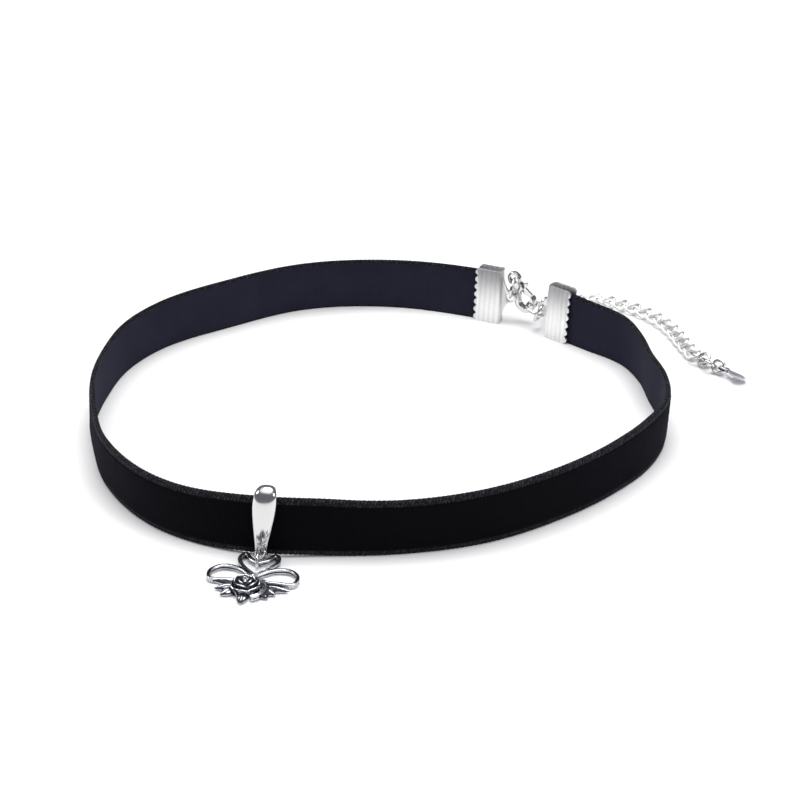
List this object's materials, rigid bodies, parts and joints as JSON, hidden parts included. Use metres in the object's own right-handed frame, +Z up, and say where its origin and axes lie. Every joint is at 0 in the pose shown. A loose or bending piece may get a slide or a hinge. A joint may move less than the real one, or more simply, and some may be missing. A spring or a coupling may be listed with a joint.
{
  "type": "choker necklace",
  "caption": "Velvet choker necklace standing open on its edge, with a silver heart and rose pendant on a bail, a lobster clasp and a short extension chain.",
  "frame": {"origin": "middle of the whole outline in plan, on the table that the necklace stands on", "axes": "+Z up, -Y from the loop towards the pendant at the front, +X to the side where the extension chain lies"},
  "size_m": [0.1096, 0.1266, 0.0124],
  "materials": {
    "velvet": "cut pile outside, woven back inside",
    "silver": "polished silver plate",
    "dark_silver": "cast, with dark oxidised recesses"
  },
  "bodies": {
    "necklace": {"ribbon": "velvet", "clamp_left": "silver", "clamp_right": "silver", "left_ring": "silver", "clasp_body": "silver", "catch_ring": "silver", "right_ring": "silver", "chain_ring": "silver", "link_01": "silver", "link_02": "silver", "link_03": "silver", "link_04": "silver", "link_05": "silver", "link_06": "silver", "link_07": "silver", "link_08": "silver", "link_09": "silver", "link_10": "silver", "link_11": "silver", "link_12": "silver", "link_13": "silver", "link_14": "silver", "link_15": "silver", "link_16": "silver", "end_ring": "silver", "end_link": "silver", "charm_ring": "silver", "charm_link": "silver", "charm": "dark_silver", "bail": "silver", "pendant_ring": "silver", "pendant": "dark_silver"},
    "lever": {"clasp_lever": "silver"}
  },
  "joints": [
    {"name": "lever_hinge", "type": "hinge", "parent": "necklace", "child": "lever", "pos_m": [0.00736, 0.04874, 0.00737], "axis": [0.2029, 0.9792, 0], "range_deg": [0, 18], "stiffness_Nm_per_rad": 0.00002, "springref_deg": -8.59}
  ]
}
